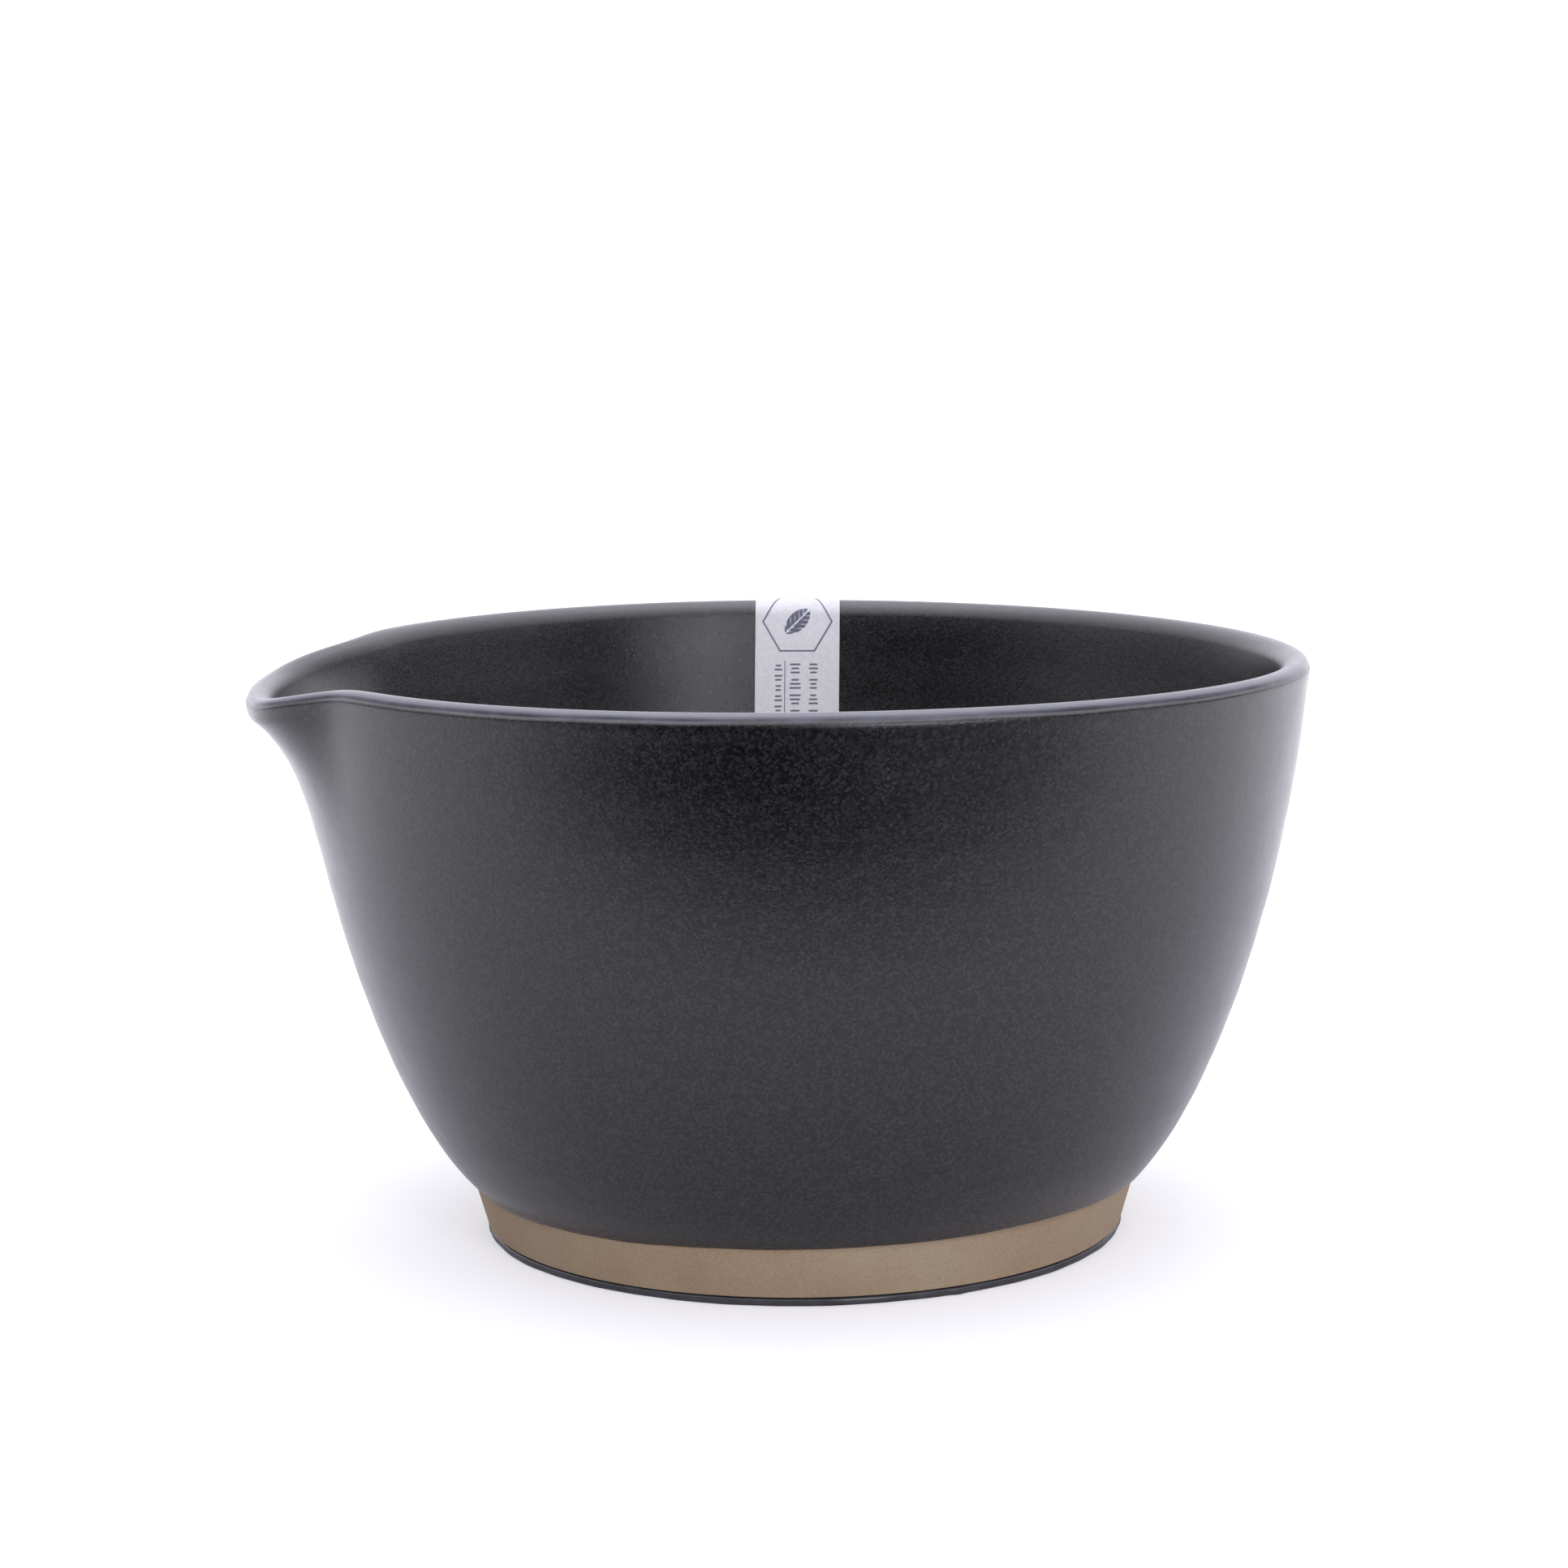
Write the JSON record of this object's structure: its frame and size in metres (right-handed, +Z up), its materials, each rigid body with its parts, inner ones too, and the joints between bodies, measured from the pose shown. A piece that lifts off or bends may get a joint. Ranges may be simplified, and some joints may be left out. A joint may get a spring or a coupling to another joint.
{
  "type": "grinding bowl with pouring lip",
  "caption": "Round stoneware grinding bowl with a pouring lip, a combed grinding inside, a soft non-slip ring under the foot and a folded paper label over the rim.",
  "frame": {"origin": "on the bowl's axis, in the plane of the non-slip ring's underside, which is the table", "axes": "+Z up along the bowl's axis, the pouring lip towards -X, the paper label at +Y"},
  "size_m": [0.1969, 0.1896, 0.1099],
  "materials": {
    "glazed_stoneware": "black satin glaze over tan clay, bare clay on the foot and the combed inside",
    "silicone": "dark grey silicone, half gloss",
    "paper": null
  },
  "bodies": {
    "root": {"bowl": "glazed_stoneware", "anti_slip_ring": "silicone", "paper_label": "paper"}
  },
  "joints": []
}
